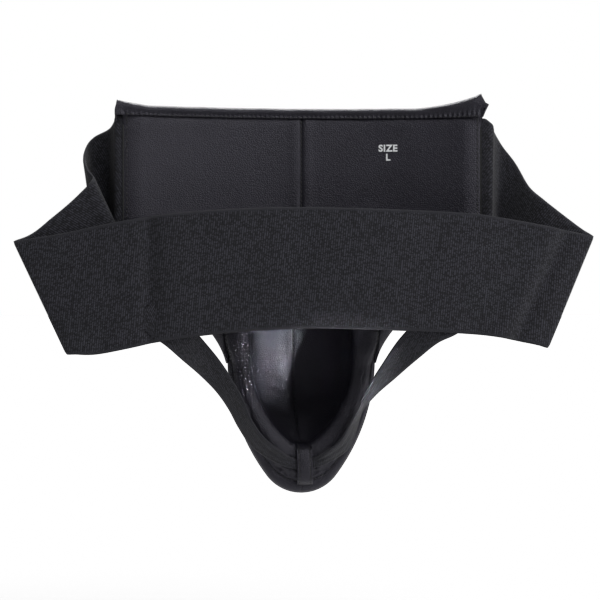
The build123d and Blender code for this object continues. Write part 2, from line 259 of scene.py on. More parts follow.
def make_piece(name, points, faces, material, uv=None):
    """A smooth-shaded mesh object at the origin, its faces turned outwards, with an optional UV for each point."""
    mesh = bpy.data.meshes.new(name)
    mesh.from_pydata(points.reshape(-1, 3).tolist(), [], faces.tolist())
    if uv is not None:
        corners = np.zeros(len(mesh.loops), dtype=np.int32)
        mesh.loops.foreach_get("vertex_index", corners)
        layer = mesh.uv_layers.new(name="Flat")
        layer.data.foreach_set("uv", uv.reshape(-1, 2)[corners].astype(np.float32).ravel())
    work = bmesh.new()
    work.from_mesh(mesh)
    bmesh.ops.recalc_face_normals(work, faces=work.faces)
    work.to_mesh(mesh)
    work.free()
    mesh.shade_smooth()
    mesh.materials.append(material)
    piece = bpy.data.objects.new(name, mesh)
    bpy.context.scene.collection.objects.link(piece)
    return piece


def sheet_piece(name, front, back, material, uv=None):
    """A piece that is a closed sheet between two grids."""
    points, faces = shell(front, back)
    both = None if uv is None else np.concatenate([uv.reshape(-1, 2), uv.reshape(-1, 2)])
    return make_piece(name, points, faces, material, both)


def stitches(name, path, outward, slot="black_thread", pitch=None):
    """A row of stitches along a path: beads of six sides, pointed at both ends, one each pitch.
    A bead's point is its middle, plus its half length along the path, plus cosine and sine of
    its radius across the path and outward."""
    size = sizes()
    pitch = pitch or size.stitch_pitch
    along = distances(path)
    middles = np.arange(pitch / 2, along[-1], pitch)
    at = np.stack([np.interp(middles, along, path[:, i]) for i in range(3)], axis=-1)
    out = np.stack([np.interp(middles, along, outward[:, i]) for i in range(3)], axis=-1)
    ahead = np.stack([np.interp(middles + pitch / 9, along, path[:, i]) for i in range(3)], axis=-1)
    behind = np.stack([np.interp(middles - pitch / 9, along, path[:, i]) for i in range(3)], axis=-1)
    forward = ahead - behind
    forward /= np.linalg.norm(forward, axis=1, keepdims=True)
    out -= forward * np.sum(out * forward, axis=1, keepdims=True)
    out /= np.linalg.norm(out, axis=1, keepdims=True)
    side = np.cross(forward, out)
    rings = np.array([-1.0, -0.8, 0.0, 0.8, 1.0])
    girth = np.array([0.15, 0.8, 1.0, 0.8, 0.15])
    turn = np.arange(6) * math.pi / 3
    reach = rings[None, :, None, None] * size.stitch_length / 2 * forward[:, None, None, :]
    lift = np.sin(turn)[None, None, :, None] * out[:, None, None, :]
    spread = np.cos(turn)[None, None, :, None] * side[:, None, None, :]
    body = girth[None, :, None, None] * size.thread_radius * (lift + spread)
    points = at[:, None, None, :] + reach + body
    ring = np.arange(6)
    near = np.arange(4)[:, None] * 6 + ring
    far = np.arange(4)[:, None] * 6 + (ring + 1) % 6
    tube = np.stack([near, far, far + 6, near + 6], axis=-1).reshape(-1, 4)
    ends = np.array([[0, 5, 4, 3], [0, 3, 2, 1], [24, 25, 26, 27], [24, 27, 28, 29]])
    one = np.concatenate([tube, ends])
    faces = (one[None] + 30 * np.arange(len(at))[:, None, None]).reshape(-1, 4)
    piece = make_piece(name, points, faces, material("thread"))
    return piece


def join(name, pieces):
    """One piece made of several."""
    with bpy.context.temp_override(
        active_object=pieces[0], object=pieces[0], selected_objects=pieces, selected_editable_objects=pieces
    ):
        bpy.ops.object.join()
    pieces[0].name = name
    return pieces[0]


# ---------------------------------------------------------------- materials
def add_node(tree, kind, inputs=(), **settings):
    """Adds a node with its settings; inputs are pairs of a socket and the number or output that feeds it."""
    node = tree.nodes.new(kind)
    for name, value in settings.items():
        setattr(node, name, value)
    for socket, value in inputs:
        if isinstance(value, bpy.types.NodeSocket):
            tree.links.new(value, node.inputs[socket])
        else:
            node.inputs[socket].default_value = value
    return node


def new_material(name, **shader):
    """An empty material: its node tree and its Principled shader, whose constants are given by socket name."""
    made = bpy.data.materials.new(name)
    made.use_nodes = True
    tree = made.node_tree
    principled = tree.nodes["Principled BSDF"]
    for socket, value in shader.items():
        principled.inputs[socket.replace("_", " ")].default_value = value
    return made, tree, principled


def leather_material(name, gloss=0.36):
    """Polyurethane-coated synthetic leather, embossed between rollers: a black coat with a fine, even
    pebble grain, a soft half gloss, and a little wear where the coat is stretched."""
    made, tree, principled = new_material(
        name, IOR=1.5, Specular_IOR_Level=0.42, Specular_Tint=(0.9, 0.88, 1.0, 1.0)
    )
    place = add_node(tree, "ShaderNodeTexCoord").outputs["Object"]
    # The real pebbles are about half as wide. They are drawn coarser so that they show.
    grain = 2 * sizes().grain_size
    pebbles = add_node(
        tree, "ShaderNodeTexVoronoi",
        [("Vector", place), ("Scale", 1 / grain), ("Randomness", 0.9)], feature="DISTANCE_TO_EDGE",
    )
    creases = add_node(
        tree, "ShaderNodeMapRange",
        [("Value", pebbles.outputs["Distance"]), ("From Max", 0.25), ("To Max", 1.0)],
    )
    skin = add_node(tree, "ShaderNodeTexNoise", [("Vector", place), ("Scale", 1 / (0.25 * MM)), ("Detail", 3.0)])
    patches = add_node(tree, "ShaderNodeTexNoise", [("Vector", place), ("Scale", 1 / (30 * MM)), ("Detail", 4.0)])
    relief = add_node(
        tree, "ShaderNodeMath",
        [(0, creases.outputs["Result"]), (1, skin.outputs["Fac"])], operation="ADD",
    )
    wave = add_node(tree, "ShaderNodeTexNoise", [("Vector", place), ("Scale", 1 / (5 * MM)), ("Detail", 3.0)])
    waves = add_node(
        tree, "ShaderNodeBump",
        [("Strength", 0.5), ("Distance", 0.35 * MM), ("Height", wave.outputs["Fac"])],
    )
    bump = add_node(
        tree, "ShaderNodeBump",
        [
            ("Strength", 0.8), ("Distance", 0.2 * MM), ("Height", relief.outputs[0]),
            ("Normal", waves.outputs["Normal"]),
        ],
    )
    tone = add_node(tree, "ShaderNodeMapRange", [("Value", patches.outputs["Fac"]), ("To Min", 0.6), ("To Max", 1.5)])
    tint = add_node(
        tree, "ShaderNodeVectorMath",
        [(0, colour("leather")[:3]), ("Scale", tone.outputs["Result"])], operation="SCALE",
    )
    rough = add_node(
        tree, "ShaderNodeMapRange",
        [("Value", patches.outputs["Fac"]), ("To Min", gloss - 0.06), ("To Max", gloss + 0.08)],
    )
    tree.links.new(tint.outputs[0], principled.inputs["Base Color"])
    tree.links.new(rough.outputs["Result"], principled.inputs["Roughness"])
    tree.links.new(bump.outputs["Normal"], principled.inputs["Normal"])
    return made


def elastic_material(name, width, pitch):
    """Ribbed knitted elastic of polyester over rubber: matte, with fine ribs across its length, each
    broken into short floats of yarn, a soft fuzz, and a flatter selvedge along both edges. The grooves
    between ribs and floats get a much darker colour as painted shade, so the flat selvedge comes out lighter.
    The UV holds metres along and across the strip."""
    made, tree, principled = new_material(name, Roughness=0.85, Sheen_Weight=0.12, Sheen_Roughness=0.5, IOR=1.45)
    principled.inputs["Specular IOR Level"].default_value = 0.2
    place = add_node(tree, "ShaderNodeUVMap", uv_map="Flat").outputs["UV"]
    flat = add_node(tree, "ShaderNodeSeparateXYZ", [("Vector", place)])
    along, across = flat.outputs["X"], flat.outputs["Y"]
    rib_count = add_node(tree, "ShaderNodeMath", [(0, along), (1, pitch)], operation="DIVIDE").outputs[0]
    rib_number = add_node(tree, "ShaderNodeMath", [(0, rib_count)], operation="FLOOR").outputs[0]
    rib_share = add_node(tree, "ShaderNodeMath", [(0, rib_count)], operation="FRACT").outputs[0]
    rib_turn = add_node(tree, "ShaderNodeMath", [(0, rib_share), (1, math.pi)], operation="MULTIPLY").outputs[0]
    rib = add_node(tree, "ShaderNodeMath", [(0, rib_turn)], operation="SINE").outputs[0]
    apart = add_node(tree, "ShaderNodeMath", [(0, rib_number), (1, 7.31)], operation="MULTIPLY").outputs[0]
    down = add_node(tree, "ShaderNodeMath", [(0, across), (1, 1.1 * pitch)], operation="DIVIDE").outputs[0]
    on_rib = add_node(tree, "ShaderNodeCombineXYZ", [("X", apart), ("Y", down)]).outputs["Vector"]
    floats = add_node(
        tree, "ShaderNodeTexNoise", [("Vector", on_rib), ("Scale", 1.0), ("Detail", 1.0)], noise_dimensions="2D"
    ).outputs["Fac"]
    broken = add_node(
        tree, "ShaderNodeMapRange",
        [("Value", floats), ("From Min", 0.4), ("From Max", 0.58), ("To Min", 0.3)],
    ).outputs["Result"]
    yarn = add_node(tree, "ShaderNodeMath", [(0, rib), (1, broken)], operation="MULTIPLY").outputs[0]
    off_middle = add_node(tree, "ShaderNodeMath", [(0, across)], operation="ABSOLUTE").outputs[0]
    selvedge = add_node(
        tree, "ShaderNodeMapRange",
        [("Value", off_middle), ("From Min", width / 2 - 2.4 * MM), ("From Max", width / 2 - 1.6 * MM)],
    ).outputs["Result"]
    fuzz = add_node(
        tree, "ShaderNodeTexNoise", [("Vector", place), ("Scale", 1 / (0.35 * MM)), ("Detail", 3.0)]
    ).outputs["Fac"]
    patches = add_node(
        tree, "ShaderNodeTexNoise", [("Vector", place), ("Scale", 1 / (14 * MM)), ("Detail", 4.0)]
    ).outputs["Fac"]
    height = add_node(
        tree, "ShaderNodeMix", [("Factor", selvedge), ("A", yarn), ("B", fuzz)], data_type="FLOAT"
    ).outputs["Result"]
    fuzzy = add_node(
        tree, "ShaderNodeMath", [(0, fuzz), (1, 0.5), (2, height)], operation="MULTIPLY_ADD"
    ).outputs[0]
    bump = add_node(tree, "ShaderNodeBump", [("Strength", 0.8), ("Distance", 0.3 * MM), ("Height", fuzzy)])
    # The colour runs from the painted groove shade up to the yarn's own colour by the rib's height.
    mix = add_node(
        tree, "ShaderNodeMix",
        [("Factor", height), ("A", colour("elastic_groove_shade")), ("B", colour("elastic"))], data_type="RGBA",
    )
    tone = add_node(tree, "ShaderNodeMapRange", [("Value", patches), ("To Min", 0.8), ("To Max", 1.2)])
    tint = add_node(
        tree, "ShaderNodeVectorMath",
        [(0, mix.outputs["Result"]), ("Scale", tone.outputs["Result"])], operation="SCALE",
    )
    tree.links.new(tint.outputs[0], principled.inputs["Base Color"])
    tree.links.new(bump.outputs["Normal"], principled.inputs["Normal"])
    return made


def thread_material():
    """Bonded polyester sewing thread: twisted filament with a waxy gloss."""
    made, tree, principled = new_material("Bonded polyester thread", Roughness=0.5, IOR=1.55)
    place = add_node(tree, "ShaderNodeTexCoord").outputs["Object"]
    twist = add_node(tree, "ShaderNodeTexNoise", [("Vector", place), ("Scale", 1 / (0.2 * MM)), ("Detail", 1.0)])
    tone = add_node(tree, "ShaderNodeMapRange", [("Value", twist.outputs["Fac"]), ("To Min", 0.7), ("To Max", 1.4)])
    tint = add_node(
        tree, "ShaderNodeVectorMath",
        [(0, colour("thread")[:3]), ("Scale", tone.outputs["Result"])], operation="SCALE",
    )
    bump = add_node(
        tree, "ShaderNodeBump",
        [("Strength", 0.5), ("Distance", 0.1 * MM), ("Height", twist.outputs["Fac"])],
    )
    tree.links.new(tint.outputs[0], principled.inputs["Base Color"])
    tree.links.new(bump.outputs["Normal"], principled.inputs["Normal"])
    return made


def foam_material(name, cell, shade):
    """Closed-cell foam, cut from a block: matte, with fine open cells on its cut faces."""
    made, tree, principled = new_material(name, Roughness=0.9, IOR=1.45)
    place = add_node(tree, "ShaderNodeTexCoord").outputs["Object"]
    cells = add_node(tree, "ShaderNodeTexVoronoi", [("Vector", place), ("Scale", 1 / cell)])
    tone = add_node(
        tree, "ShaderNodeMapRange",
        [("Value", cells.outputs["Distance"]), ("To Min", 0.8 * shade), ("To Max", 1.1 * shade)],
    )
    tint = add_node(
        tree, "ShaderNodeVectorMath",
        [(0, colour("foam")[:3]), ("Scale", tone.outputs["Result"])], operation="SCALE",
    )
    bump = add_node(
        tree, "ShaderNodeBump",
        [("Strength", 0.5), ("Distance", 0.2 * MM), ("Height", cells.outputs["Distance"])],
    )
    tree.links.new(tint.outputs[0], principled.inputs["Base Color"])
    tree.links.new(bump.outputs["Normal"], principled.inputs["Normal"])
    return made


def moulded_material():
    """Injection-moulded polypropylene: a fine spark-eroded texture and faint flow marks."""
    made, tree, principled = new_material("Moulded polypropylene", IOR=1.49)
    place = add_node(tree, "ShaderNodeTexCoord").outputs["Object"]
    flow = add_node(tree, "ShaderNodeTexNoise", [("Vector", place), ("Scale", 1 / (25 * MM)), ("Detail", 2.0)])
    spark = add_node(tree, "ShaderNodeTexNoise", [("Vector", place), ("Scale", 1 / (0.3 * MM))])
    rough = add_node(
        tree, "ShaderNodeMapRange", [("Value", flow.outputs["Fac"]), ("To Min", 0.4), ("To Max", 0.6)]
    )
    tone = add_node(tree, "ShaderNodeMapRange", [("Value", flow.outputs["Fac"]), ("To Min", 0.9), ("To Max", 1.0)])
    tint = add_node(
        tree, "ShaderNodeVectorMath",
        [(0, colour("shell")[:3]), ("Scale", tone.outputs["Result"])], operation="SCALE",
    )
    bump = add_node(
        tree, "ShaderNodeBump",
        [("Strength", 0.2), ("Distance", 0.05 * MM), ("Height", spark.outputs["Fac"])],
    )
    tree.links.new(tint.outputs[0], principled.inputs["Base Color"])
    tree.links.new(rough.outputs["Result"], principled.inputs["Roughness"])
    tree.links.new(bump.outputs["Normal"], principled.inputs["Normal"])
    return made


def print_material():
    """Heat-transfer print: a thin matte white film that takes a little of the grain below it."""
    made, tree, principled = new_material("Heat-transfer print", Roughness=0.55, IOR=1.45)
    place = add_node(tree, "ShaderNodeTexCoord").outputs["Object"]
    wear = add_node(tree, "ShaderNodeTexNoise", [("Vector", place), ("Scale", 1 / (0.5 * MM)), ("Detail", 3.0)])
    tone = add_node(tree, "ShaderNodeMapRange", [("Value", wear.outputs["Fac"]), ("To Min", 0.75), ("To Max", 1.0)])
    tint = add_node(
        tree, "ShaderNodeVectorMath",
        [(0, colour("mark")[:3]), ("Scale", tone.outputs["Result"])], operation="SCALE",
    )
    tree.links.new(tint.outputs[0], principled.inputs["Base Color"])
    return made


def floor_material():
    """Matte studio board with a faint paper tooth."""
    made, tree, principled = new_material("Studio board", Roughness=0.9)
    place = add_node(tree, "ShaderNodeTexCoord").outputs["Object"]
    tooth = add_node(tree, "ShaderNodeTexNoise", [("Vector", place), ("Scale", 400.0)])
    tone = add_node(tree, "ShaderNodeMapRange", [("Value", tooth.outputs["Fac"]), ("To Min", 0.98), ("To Max", 1.0)])
    tint = add_node(
        tree, "ShaderNodeVectorMath",
        [(0, colour("floor")[:3]), ("Scale", tone.outputs["Result"])], operation="SCALE",
    )
    tree.links.new(tint.outputs[0], principled.inputs["Base Color"])
    return made


MAKERS = {
    "leather": lambda: leather_material("Synthetic leather"),
    "lining": lambda: leather_material("Soft-finish synthetic leather", gloss=0.55),
    "elastic": lambda: elastic_material("Waistband elastic", 2 * BAND_HALF, sizes().rib_pitch),
    "strap": lambda: elastic_material("Leg strap elastic", 25 * MM, 0.85 * sizes().rib_pitch),
    "thread": thread_material,
    "foam": lambda: foam_material("Soft closed-cell foam", 0.9 * MM, 1.0),
    "board": lambda: foam_material("Firm foam board", 0.5 * MM, 0.5),
    # A cut end of the elastic: matte and black, with the rubber strands' ends as fine cells.
    "cut_elastic": lambda: foam_material("Cut elastic end", 0.8 * MM, 0.1),
    "shell": moulded_material,
    "mark": print_material,
    "floor": floor_material,
}


def material(name):
    """The named material, made the first time that it is asked for."""
    key = "guard_" + name
    if key not in bpy.context.scene:
        made = MAKERS[name]()
        bpy.context.scene[key] = made.name
    return bpy.data.materials[bpy.context.scene[key]]


# ---------------------------------------------------------------- abdomen pad
def pad_place(x, z, depth):
    """A point of the pad: the bend's circle, swollen by depth, gives y for each x."""
    return np.stack([x, PAD_AXIS + np.sqrt((PAD_BEND + depth) ** 2 - x**2), z], axis=-1)


def pad_lower_edge(depth):
    """The right half of the pad's lower edge, from the middle outwards, and 1 where it meets the cup:
    round the cup's dome, down its flank, across the leg's tip, and along a parabola to the rounded corner."""
    inset = np.sqrt(1 - (depth / CUP_HALF) ** 2) * CUP_HALF
    angle = math.pi / 2 * (1 - np.linspace(0, 1, 30) ** 1.6)
    dome = np.stack([inset * np.cos(angle), CUP_DOME + inset * np.sin(angle)], axis=1)
    flank_z = np.linspace(CUP_DOME, LEG_TIP, 10)[1:]
    flank = np.stack([np.full(9, inset), flank_z], axis=1)
    tip = np.stack([np.linspace(inset, LEG_X, 4)[1:], np.full(3, LEG_TIP)], axis=1)
    t = np.linspace(0, 1, 26)[1:, None]
    start, pull, end = np.array([LEG_X, LEG_TIP]), np.array([66, -111]) * MM, np.array([126, -66]) * MM
    sweep = (1 - t) ** 2 * start + 2 * t * (1 - t) * pull + t * t * end
    turn = np.linspace(0, math.pi / 2, 16)[1:]
    corner_x = end[0] + (PAD_HALF - end[0]) * np.sin(turn)
    corner_z = end[1] + 20 * MM * (1 - np.cos(turn))
    corner = np.stack([corner_x, corner_z], axis=1)
    edge = np.concatenate([dome, flank, tip, sweep, corner])
    on_cup = np.concatenate([np.ones(41), np.linspace(0.6, 0, len(edge) - 41) > 0.55])
    return edge, on_cup


def pad_grid(share, side, groove=0.0):
    """One half of a surface inside the pad, share of the way from the wearer's face to the front face.
    Straight lines run from the lower edge to the top. The depth goes from the full layer to a thin
    sewn edge as a quarter circle does, over the edge roll's width, and a groove sinks at the centre seam."""
    edge, on_cup = pad_lower_edge(share * PAD_THICK)
    along = distances(edge)
    upper = PAD_HALF * along / along[-1]
    t = (1 - np.cos(np.linspace(0, math.pi, 72)))[:, None] / 2
    top = PAD_TOP
    x = edge[:, 0] * (1 - t) + upper * t
    z = edge[:, 1] * (1 - t) + top * t
    from_side = PAD_HALF - x
    from_low = 0.85 * (z - edge[:, 1]) + on_cup * 40 * MM
    from_edge = 1 / (1 / (from_side + 1e-6) ** 3 + 1 / (from_low + 1e-6) ** 3) ** (1 / 3)
    roll = sizes().edge_roll
    left_over = 1 - np.clip(from_edge / roll, 0, 1)
    fullness = (1 - share) * (1 - left_over**1.6) + share * np.sqrt(1 - left_over**2)
    seam_depth = (LINING_THICK + BACKING_THICK) / 2 + 2.2 * MM
    pinched = seam_depth + (share - 0.4) * 3.4 * MM
    depth = fullness * share * PAD_THICK + (1 - fullness) * pinched
    top_full = np.sqrt(1 - (1 - np.clip((top - z) / (9 * MM), 0, 1)) ** 2)
    top_pinched = 6.5 * MM + (share - 0.5) * 8 * MM
    depth = top_full * depth + (1 - top_full) * top_pinched
    depth = depth + groove * (1.1 * MM * bump_at(x, 1.3 * MM) - 0.45 * MM * bump_at(x - 5 * MM, 4 * MM))
    waves = ripple(x / (60 * MM) * side, z / (60 * MM), 3)
    depth = depth + groove * 0.35 * MM * waves * np.clip(from_edge / (20 * MM), 0, 1)
    grid = pad_place(x, z, depth)
    grid[..., 0] *= side
    return grid


def pad_both(share):
    """A surface inside the pad over its whole width: the left half's grid turned round, then the right's."""
    left, right = pad_grid(share, -1.0), pad_grid(share, 1.0)
    return np.concatenate([left[:, :0:-1], right], axis=1)


class GUARD_OT_pad(bpy.types.Operator):
    """Add the abdomen pad: two lining halves, two foams, the front cover and the tape along each leg edge"""

    bl_idname = "guard.pad"
    bl_label = "Abdomen pad"

    def execute(self, context):
        shares = [0.0, LINING_THICK / PAD_THICK, BACKING_THICK / PAD_THICK, COVER_THICK / PAD_THICK, 1.0]
        for name, side in SIDES:
            front = pad_grid(shares[0], side, groove=1.0)
            back = pad_grid(shares[1], side)
            piece = sheet_piece(f"pad_lining_{name}_leather", front, back, material("leather"))
            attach(piece, GUARD)
            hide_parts(f"pad_lining_{name}")
        layers = (
            ("backing_board", "board", "firm_foam_board", "pad_backing_foam"),
            ("front_cushion", "foam", "grey_foam", "pad_front_foam"),
            ("front_leather", "leather", "black_pu_leather", "pad_front_cover"),
        )
        for i, (name, look, slot, node) in enumerate(layers, start=1):
            piece = sheet_piece(name, pad_both(shares[i]), pad_both(shares[i + 1]), material(look))
            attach(piece, GUARD)
            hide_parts(node)
        # A leather tape is sewn round the layers' edges, from the leg's tip to the lower corner.
        depths = np.linspace(0.5 * shares[1], 0.5 + 0.5 * shares[3], 7)
        line = np.stack([pad_grid(share, 1.0)[0][38:] for share in depths], axis=1)
        slope = np.gradient(line, axis=0)
        away = np.stack([slope[..., 2], 0 * slope[..., 1], -slope[..., 0]], axis=-1)
        away /= np.linalg.norm(away, axis=-1, keepdims=True)
        bow = (0.15 + 0.55 * np.sin(np.linspace(0, math.pi, 7)))[None, :, None] * MM
        for name, side in SIDES:
            mirror = np.array([side, 1.0, 1.0])
            outside, inside = (line + bow * away) * mirror, (line - 0.3 * MM * away) * mirror
            piece = sheet_piece(f"leg_edge_{name}_tape", outside, inside, material("leather"))
            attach(piece, GUARD)
        return {"FINISHED"}


class GUARD_OT_binding(bpy.types.Operator):
    """Add the leather binding that is rolled over the pad's top edge, with both ends left long"""

    bl_idname = "guard.binding"
    bl_label = "Top binding"

    def execute(self, context):
        end_left, end_right = -PAD_HALF - 4.5 * MM, PAD_HALF + 0.8 * MM
        x = np.concatenate([
            np.linspace(end_left, end_left + 30 * MM, 40),
            np.linspace(end_left + 30 * MM, end_right - 46 * MM, 260)[1:],
            np.linspace(end_right - 46 * MM, end_right, 60)[1:],
        ])
        rise_left = 3.6 * MM * np.clip((x - (end_left + 25 * MM)) / (-25 * MM), 0, 1) ** 1.25
        rise_right = 10.5 * MM * np.clip((x - (end_right - 52 * MM)) / (52 * MM), 0, 1) ** 1.7
        rise = rise_left + rise_right
        # The strip's section: (depth from the pad's face, height over the pad's top), wearer's side first.
        section = np.array([
            (-0.3, -2.3), (-1.0, -2.3), (-1.35, -1.6), (-1.1, -0.6), (-1.5, 0.6), (-2.4, 2.0), (-2.5, 3.4),
            (-1.2, 5.0), (1.5, 5.9), (5.0, 6.0), (9.0, 5.6), (12.5, 4.4), (15.0, 2.0), (15.9, -1.0),
            (15.8, -4.5), (15.4, -6.6), (14.7, -6.6), (14.6, -4.0), (13.6, -1.0), (9.0, 1.6), (4.0, 1.6),
            (0.3, -0.4),
        ]) * MM
        places = np.arange(len(section) + 1.0)
        closed = np.concatenate([section, section[:1]])
        around = curve_through(closed, places, np.linspace(0, len(section), 67))[:-1]
        free = ease((np.abs(x) - (PAD_HALF - 10 * MM)) / (14 * MM))[:, None]
        depth = around[:, 0] * (1 - 0.62 * free) + free * 1.0 * MM
        lift = around[:, 1] + rise[:, None] * ease((around[:, 1] + 3 * MM) / (7 * MM))
        lift = lift + 0.25 * MM * ripple(x[:, None] / (24 * MM), around[:, 1] / (20 * MM), 5)
        depth = depth + 0.3 * MM * ripple(x[:, None] / (17 * MM), around[:, 1] / (9 * MM), 8)
        pull = np.cos(x * 2 * math.pi / sizes().stitch_pitch)[:, None] * bump_at(around[:, 1] + 1.3 * MM, 1.5 * MM)
        depth = depth + 0.5 * MM * pull * (around[:, 0] < 2 * MM)
        tab = 4.2 * MM * bump_at(lift - 7.6 * MM, 1.6 * MM) - 1.4 * MM * ease((lift - 9 * MM) / (5 * MM))
        cut = ease((x - end_right + 7 * MM) / (7 * MM))[:, None] * tab
        cut = cut - ease((end_left + 6 * MM - x) / (6 * MM))[:, None] * 1.6 * MM * ease((9 * MM - lift) / (8 * MM))
        grid = pad_place(x[:, None] + cut, PAD_TOP + lift, depth)
        rows, columns = grid.shape[:2]
        ring = np.concatenate([grid, grid[:, :1]], axis=1)
        faces = quads(rows, columns + 1)
        row, column = np.divmod(faces, columns + 1)
        faces = row * columns + column % columns
        cap = np.arange(columns)
        ends = []
        for first in (0, (rows - 1) * columns):
            pairs = columns // 2
            i = np.arange(pairs - 1)
            ends.append(first + np.stack([cap[i], cap[i + 1], cap[columns - 2 - i], cap[columns - 1 - i]], axis=1))
        faces = np.concatenate([faces, *ends])
        piece = make_piece("top_binding_leather", ring[:, :-1], faces, material("leather"))
        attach(piece, GUARD)
        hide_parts("top_binding")
        return {"FINISHED"}


# ---------------------------------------------------------------- cup
def cup_outline(depth, lift, counts=(26, 44, 12, 40)):
    """Half of the cup's outline as (x, z), moved in by depth with its tip raised by lift: the tip's arc
    from the middle, the side's arc tangent to it, the straight flank, and the dome's quarter circle."""
    edge = CUP_HALF - depth
    tip = CUP_TIP_RADIUS - depth
    centre = CUP_TIP + depth + lift + tip
    fall = CUP_WIDEST - centre
    side = (edge**2 + fall**2 - tip**2) / (2 * (edge - tip))
    meet = math.atan2(-fall, side - edge)
    tip_turn = np.linspace(-math.pi / 2, meet, counts[0])
    side_turn = np.linspace(meet, 0, counts[1])[1:]
    flank_z = np.linspace(CUP_WIDEST, CUP_DOME, counts[2])[1:]
    dome_turn = np.linspace(0, math.pi / 2, counts[3])[1:]
    x = np.concatenate([
        tip * np.cos(tip_turn), edge - side + side * np.cos(side_turn),
        np.full(len(flank_z), edge), edge * np.cos(dome_turn),
    ])
    z = np.concatenate([
        centre + tip * np.sin(tip_turn), CUP_WIDEST + side * np.sin(side_turn),
        flank_z, CUP_DOME + edge * np.sin(dome_turn),
    ])
    return np.stack([np.maximum(x, 0.02 * MM), z], axis=1)


def turned(outline, angle, swell=0.0):
    """The outline turned about the cup's upright axis: x and y are its radius times the angle's cosine and sine."""
    radius = outline[:, None, 0] + swell
    x = radius * np.cos(angle)
    y = PAD_FACE + radius * np.sin(angle)
    return np.stack([x, y, outline[:, None, 1] + 0 * x], axis=-1)


def seam_angles(count, reach=math.pi / 2):
    """Angles from the rim to the seam at reach, closer together beside the seam."""
    return reach * (1 - (1 - np.linspace(0, 1, count)) ** 1.8)


class GUARD_OT_cup(bpy.types.Operator):
    """Add the cup's leather: two lining halves inside and two cover halves outside, with a lip at the rim"""

    bl_idname = "guard.cup"
    bl_label = "Cup"

    def execute(self, context):
        angle = seam_angles(60)
        inside = cup_outline(CUP_WALL, CUP_TIP_PADDING)
        behind = cup_outline(CUP_WALL - 0.9 * LINING_THICK, CUP_TIP_PADDING)
        outer = cup_outline(0.0, 0.0)
        under = cup_outline(0.9 * LINING_THICK, 0.0)
        outer_seam = outer[:, None, 0] * (math.pi / 2 - angle)
        out_swell = 0.5 * MM * bump_at(outer_seam - 4.5 * MM, 3 * MM) - 0.9 * MM * bump_at(outer_seam, 1.1 * MM)
        cover = turned(outer, angle, out_swell)
        cover_back = turned(under, angle, -0.9 * MM * bump_at(outer_seam, 1.1 * MM))
        # The lip rolls over from the cover's edge to the rim's outer seam, and fades out round the dome.
        roll = np.linspace(0, math.pi, 15)[:-1]
        fade = ease((CUP_DOME + 25 * MM - outer[:, 1]) / (40 * MM))
        lip, lip_back = [], []
        for turn in roll:
            depth = 2.6 * MM * (1 - math.cos(turn))
            ring = cup_outline(depth, 1.4 * depth)
            ring_back = cup_outline(max(depth, 0.9 * MM) * 0.9 + 0.3 * MM, 1.4 * depth)
            rise = RIM_SEAT - 0.1 * MM - 4.2 * MM * math.sin(turn) * fade
            rise_back = rise + 0.9 * MM
            lip.append(np.stack([ring[:, 0], rise, ring[:, 1]], axis=1))
            lip_back.append(np.stack([ring_back[:, 0], np.minimum(rise_back, PAD_FACE), ring_back[:, 1]], axis=1))
        lip = np.stack(lip[::-1], axis=1)
        lip_back = np.stack(lip_back[::-1], axis=1)
        for name, side in SIDES:
            mirror = np.array([side, 1.0, 1.0])
            reach = math.pi / 2 + side * LINING_SEAM_TURN
            inner_angle = seam_angles(60, reach)
            from_seam = inside[:, None, 0] * (reach - inner_angle)
            groove = 0.8 * MM * bump_at(from_seam, 0.7 * MM)
            swell = groove - 0.45 * MM * bump_at(from_seam - 3.5 * MM, 2.5 * MM)
            waves = ripple(side * from_seam / (22 * MM), inside[:, None, 1] / (26 * MM), 11)
            swell = swell + 0.35 * MM * waves * ease(from_seam / (8 * MM))
            low = ease((CUP_WIDEST + 10 * MM - inside[:, None, 1]) / (40 * MM))
            wrinkles = ripple(side * from_seam / (26 * MM), inside[:, None, 1] / (7 * MM), 12)
            swell = swell + 0.4 * MM * wrinkles * low * ease(from_seam / (5 * MM))
            skin = turned(inside, inner_angle, np.minimum(swell, 0.9 * LINING_THICK)) * mirror
            wall = turned(behind, inner_angle, groove) * mirror
            piece = sheet_piece(
                f"cup_lining_{name}_leather", skin, wall, material("lining")
            )
            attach(piece, GUARD)
            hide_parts(f"cup_lining_{name}")
            front = np.concatenate([lip, cover], axis=1) * mirror
            back = np.concatenate([lip_back, cover_back], axis=1) * mirror
            piece = sheet_piece(f"cup_cover_{name}_leather", front, back, material("leather"))
            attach(piece, GUARD)
            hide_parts(f"cup_cover_{name}")
        return {"FINISHED"}


RIM_OUTER = (2.8 * MM, 6.0 * MM)
RIM_INNER = (CUP_WALL, CUP_TIP_PADDING)


def rim_edge(depth, lift):
    """The rim from the right of the dome round the tip to the left, as (x, z): part of the outline, twice."""
    half = cup_outline(depth, lift)[:-26]
    return np.concatenate([half[::-1], half[1:] * np.array([-1.0, 1.0])])


